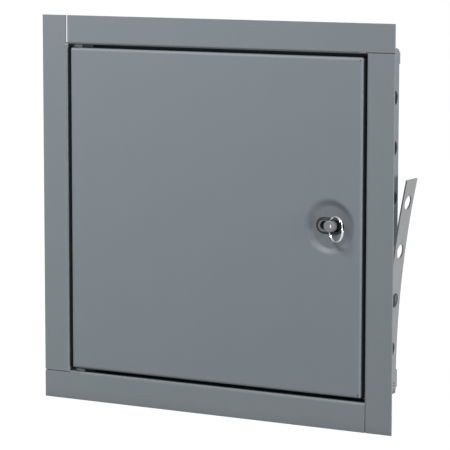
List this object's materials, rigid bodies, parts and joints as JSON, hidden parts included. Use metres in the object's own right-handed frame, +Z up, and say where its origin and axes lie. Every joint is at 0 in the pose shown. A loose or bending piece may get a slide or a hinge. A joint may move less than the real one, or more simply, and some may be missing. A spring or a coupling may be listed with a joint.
{
  "type": "fire-rated access panel",
  "caption": "Square steel access panel: pinwheel trim frame with bent anchor straps, insulated self-closing leaf on a concealed hinge, and a ring-turned slam latch in a pressed cup.",
  "frame": {"origin": "middle of the wall opening, in the plane of the wall's face, where the rear of the trim flange lies", "axes": "+Y goes into the wall, so the panel's face looks along -Y; +X points to the lock side, +Z up"},
  "size_m": [0.358, 0.0763, 0.358],
  "materials": {
    "trim_paint": "grey baked primer, satin",
    "leaf_paint": "grey baked primer, satin",
    "strap_paint": "thin grey primer over galvanised sheet",
    "bright_steel": "turned steel",
    "zinc_sheet": "galvanised sheet",
    "spring_steel": "oiled spring wire",
    "ring_plate": "bright nickel plate",
    "mineral_wool": "mineral wool slab",
    "black_case": "black enamelled sheet",
    "grey_nylon": "dark grey nylon",
    "dull_zinc": "dull zinc plate"
  },
  "bodies": {
    "frame": {"frame_top": "trim_paint", "frame_right": "trim_paint", "frame_bottom": "trim_paint", "frame_left": "trim_paint", "anchor_strap_top": "strap_paint", "anchor_strap_right": "strap_paint", "anchor_strap_bottom": "strap_paint", "anchor_strap_left": "strap_paint", "door_stop_top": "trim_paint", "door_stop_bottom": "trim_paint", "door_stop_lock_side": "trim_paint", "hinge_rod": "bright_steel", "hinge_rod_clips": "bright_steel", "upper_thrust_washer": "grey_nylon", "lower_thrust_washer": "grey_nylon"},
    "leaf": {"door_front_pan": "leaf_paint", "door_back_pan": "zinc_sheet", "insulation_core": "mineral_wool", "upper_hinge_bracket": "zinc_sheet", "lower_hinge_bracket": "zinc_sheet", "closing_spring": "spring_steel", "latch_case": "black_case", "latch_cover": "black_case", "latch_screws": "bright_steel", "latch_escutcheon": "leaf_paint", "latch_bushing": "bright_steel", "release_bushing": "bright_steel", "bolt_spring": "spring_steel"},
    "spindle": {"latch_spindle": "dull_zinc", "latch_cam": "zinc_sheet", "inside_release_lever": "zinc_sheet", "spindle_clip": "spring_steel"},
    "ring": {"pull_ring": "ring_plate"},
    "bolt": {"latch_bolt": "bright_steel"}
  },
  "joints": [
    {"name": "leaf_hinge", "type": "hinge", "parent": "frame", "child": "leaf", "pos_m": [-0.1428, 0.0045, 0], "axis": [0, 0, -1], "range_deg": [0, 105], "stiffness_Nm_per_rad": 0.25, "deforming": ["closing_spring"]},
    {"name": "spindle_turn", "type": "hinge", "parent": "leaf", "child": "spindle", "pos_m": [0.1179, 0, 0.0012], "axis": [0, 1, 0], "range_deg": [-0.5, 60.5]},
    {"name": "ring_flip", "type": "hinge", "parent": "spindle", "child": "ring", "pos_m": [0.1179, -0.00055, 0.0012], "axis": [0, 0, -1], "range_deg": [-24, 140]},
    {"name": "bolt_slide", "type": "slide", "parent": "leaf", "child": "bolt", "axis": [1, 0, 0], "range_m": [-0.012, 0], "stiffness_N_per_m": 500, "deforming": ["bolt_spring"]}
  ],
  "couplings": [
    {"joint": "spindle_turn", "follows": "bolt_slide", "rad_per_m": -87.266}
  ]
}
